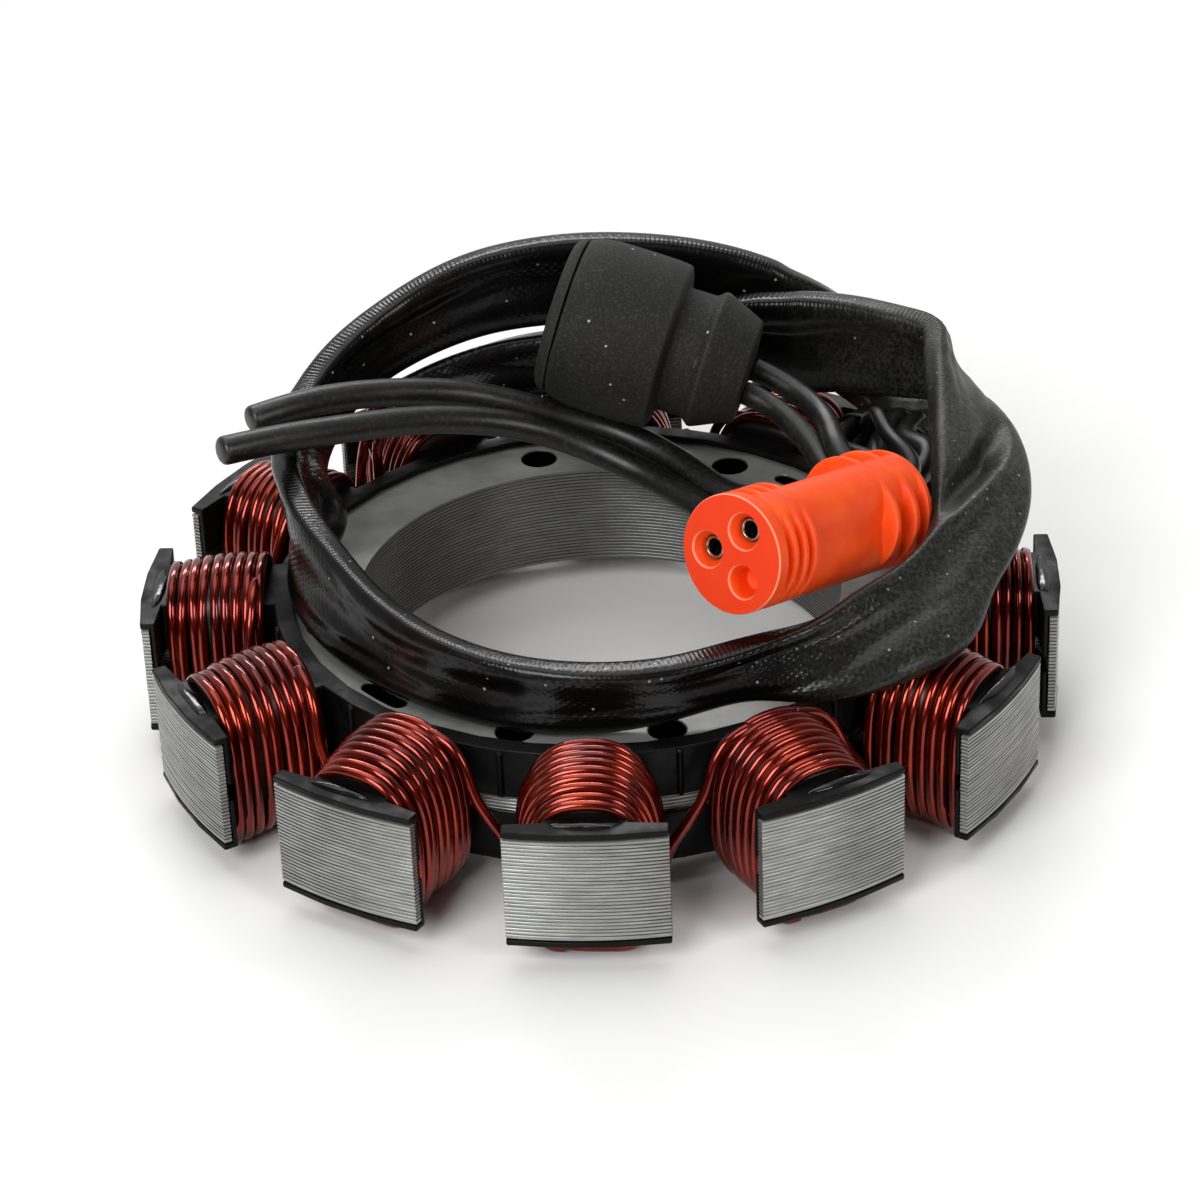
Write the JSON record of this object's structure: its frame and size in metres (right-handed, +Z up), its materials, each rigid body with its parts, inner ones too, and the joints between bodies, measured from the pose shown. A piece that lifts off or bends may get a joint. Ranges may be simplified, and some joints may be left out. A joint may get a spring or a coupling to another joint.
{
  "type": "wound stator",
  "caption": "Ring-shaped wound stator with outward poles, red enamelled coils, black insulation and a curled lead harness ending in a rubber boot plug and a ribbed connector.",
  "frame": {"origin": "on the ring's axis, at the level of the coils' undersides, which the part stands on", "axes": "+Z up along the ring's axis, from the mounting side to the harness; -Y out along the first pole, which faces the viewer of the picture"},
  "size_m": [0.1268, 0.1268, 0.0559],
  "materials": {
    "lamination_steel": "stacked sheet edges under a thin clear varnish",
    "moulded_nylon": "black, moulded, slightly glossy",
    "enamelled_wire": "dark red clear enamel on copper wire, varnished",
    "varnished_sleeving": "black woven sleeve soaked in varnish",
    "cable_sheath": "smooth black cable sheath",
    "boot_rubber": "matt black moulded rubber",
    "silicone_rubber": "orange red moulded rubber",
    "contact_metal": "tinned"
  },
  "bodies": {
    "root": {"lamination_stack": "lamination_steel", "upper_insulator": "moulded_nylon", "lower_insulator": "moulded_nylon", "lead_sleeve": "varnished_sleeving", "plug_boot": "boot_rubber", "plug_insert": "boot_rubber", "connector_body": "silicone_rubber", "coil_01": "enamelled_wire", "coil_02": "enamelled_wire", "coil_03": "enamelled_wire", "coil_04": "enamelled_wire", "coil_05": "enamelled_wire", "coil_06": "enamelled_wire", "coil_07": "enamelled_wire", "coil_08": "enamelled_wire", "coil_09": "enamelled_wire", "coil_10": "enamelled_wire", "coil_11": "enamelled_wire", "coil_12": "enamelled_wire", "crossover_wire_01": "enamelled_wire", "crossover_wire_02": "enamelled_wire", "crossover_wire_03": "enamelled_wire", "crossover_wire_04": "enamelled_wire", "crossover_wire_05": "enamelled_wire", "crossover_wire_06": "enamelled_wire", "crossover_wire_07": "enamelled_wire", "crossover_wire_08": "enamelled_wire", "crossover_wire_09": "enamelled_wire", "crossover_wire_10": "enamelled_wire", "crossover_wire_11": "enamelled_wire", "coil_end_1": "enamelled_wire", "coil_end_2": "enamelled_wire", "coil_end_3": "enamelled_wire", "free_lead_1": "cable_sheath", "free_lead_2": "cable_sheath", "boot_lead_1": "cable_sheath", "boot_lead_2": "cable_sheath", "connector_lead_1": "cable_sheath", "connector_lead_2": "cable_sheath", "connector_lead_3": "cable_sheath", "connector_contact_1": "contact_metal", "connector_contact_2": "contact_metal"}
  },
  "joints": []
}
